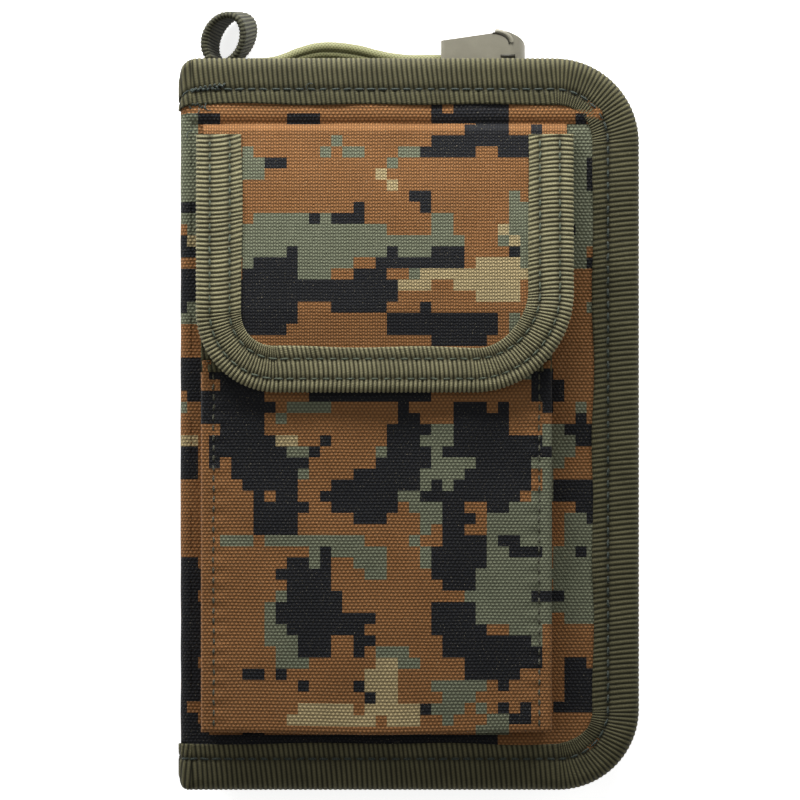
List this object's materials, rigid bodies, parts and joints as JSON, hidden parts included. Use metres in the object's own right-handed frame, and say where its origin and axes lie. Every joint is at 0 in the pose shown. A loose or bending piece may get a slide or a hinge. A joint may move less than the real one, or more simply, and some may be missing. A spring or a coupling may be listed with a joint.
{
  "type": "trifold wallet",
  "caption": "Tall cloth wallet in three bound panels that fold like a Z, with a flapped phone pocket on the cover, inner card slots, zip pocket, cord leash and snap hook.",
  "frame": {"origin": "middle of the back panel's rest face, with the wallet closed and lying on its back", "axes": "+Z out of the cover's front, +Y to the edge with the webbing loop, +X to the cover's free edge"},
  "size_m": [0.12, 0.2031, 0.0274],
  "materials": {
    "camouflage_cloth": "matt coated oxford cloth, blocky four-colour pattern",
    "lining_cloth": "plain dark olive nylon",
    "binding_tape": "ribbed olive grosgrain tape",
    "stiffener_board": "dark foam board",
    "clear_film": "clear vinyl",
    "zip_tape": "herringbone zip tape",
    "zip_teeth": "nylon coil",
    "zip_metal": "black enamelled zinc",
    "loop_tape": "brushed loop tape",
    "hook_tape": "hook tape",
    "webbing": "ribbed dark olive tape",
    "cord": "braided olive cord",
    "moulded_plastic": "satin grey-tan acetal",
    "steel_pin": "plain"
  },
  "bodies": {
    "root": {"back_binding": "binding_tape", "back_board": "stiffener_board", "back_front_cloth": "lining_cloth", "back_rear_cloth": "camouflage_cloth", "back_slip_pocket": "lining_cloth", "card_window_film": "clear_film", "card_window_frame": "lining_cloth", "hook_body": "moulded_plastic", "hook_gate_pin": "steel_pin", "lanyard_loop": "webbing", "leash_cord": "cord"},
    "right_spine": {"right_spine_binding_bottom": "binding_tape", "right_spine_binding_top": "binding_tape", "right_spine_cloth": "camouflage_cloth"},
    "middle": {"card_slot_lower_1": "lining_cloth", "card_slot_lower_2": "lining_cloth", "card_slot_lower_3": "lining_cloth", "card_slot_upper_1": "lining_cloth", "card_slot_upper_2": "lining_cloth", "card_slot_upper_3": "lining_cloth", "closure_loop_strip": "loop_tape", "middle_binding_bottom": "binding_tape", "middle_binding_top": "binding_tape", "middle_board": "stiffener_board", "middle_front_cloth": "lining_cloth", "middle_rear_cloth": "lining_cloth", "zip_end_stop": "zip_metal", "zip_pocket_front": "lining_cloth", "zip_pocket_header": "lining_cloth", "zip_tape_lower": "zip_tape", "zip_tape_upper": "zip_tape", "zip_teeth_lower": "zip_teeth", "zip_teeth_upper": "zip_teeth"},
    "zip_slider": {"zip_slider": "zip_metal", "zip_pull_tab": "zip_metal"},
    "left_spine": {"left_spine_binding_bottom": "binding_tape", "left_spine_binding_top": "binding_tape", "left_spine_cloth": "camouflage_cloth"},
    "cover": {"closure_hook_strip": "hook_tape", "cover_binding": "binding_tape", "cover_board": "stiffener_board", "cover_front_cloth": "camouflage_cloth", "cover_rear_cloth": "lining_cloth", "cover_slip_pocket": "lining_cloth", "pocket_front": "camouflage_cloth", "pocket_gusset_bottom": "camouflage_cloth", "pocket_gusset_left": "camouflage_cloth", "pocket_gusset_right": "camouflage_cloth", "pocket_loop_patch": "loop_tape", "pocket_mouth_binding": "binding_tape"},
    "flap": {"flap_binding": "binding_tape", "flap_cloth": "camouflage_cloth", "flap_hook_patch": "hook_tape", "flap_lining": "lining_cloth"},
    "hook_gate": {"hook_gate": "moulded_plastic"}
  },
  "joints": [
    {"name": "right_spine_fold", "type": "hinge", "parent": "root", "child": "right_spine", "pos_m": [0.0585, 0, 0], "axis": [0, 1, 0], "range_deg": [0, 90]},
    {"name": "middle_fold", "type": "hinge", "parent": "right_spine", "child": "middle", "pos_m": [0.0585, 0, 0.0118], "axis": [0, 1, 0], "range_deg": [0, 90]},
    {"name": "left_spine_fold", "type": "hinge", "parent": "middle", "child": "left_spine", "pos_m": [-0.06, 0, 0.0088], "axis": [0, -1, 0], "range_deg": [0, 90]},
    {"name": "cover_fold", "type": "hinge", "parent": "left_spine", "child": "cover", "pos_m": [-0.06, 0, 0.0187], "axis": [0, -1, 0], "range_deg": [0, 90]},
    {"name": "flap_hinge", "type": "hinge", "parent": "cover", "child": "flap", "pos_m": [-0.0063, 0.0775, 0.0207], "axis": [-1, 0, 0], "range_deg": [0, 170]},
    {"name": "zip_slide", "type": "slide", "parent": "middle", "child": "zip_slider", "axis": [1, 0, 0], "range_m": [0, 0.078]},
    {"name": "hook_gate_hinge", "type": "hinge", "parent": "root", "child": "hook_gate", "pos_m": [0.0128, 0.0978, 0.0016], "axis": [0, -1, 0], "range_deg": [0, 18], "stiffness_Nm_per_rad": 0.005, "springref_deg": -20.05}
  ],
  "couplings": [
    {"joint": "middle_fold", "follows": "right_spine_fold", "ratio": 1},
    {"joint": "cover_fold", "follows": "left_spine_fold", "ratio": 1}
  ]
}
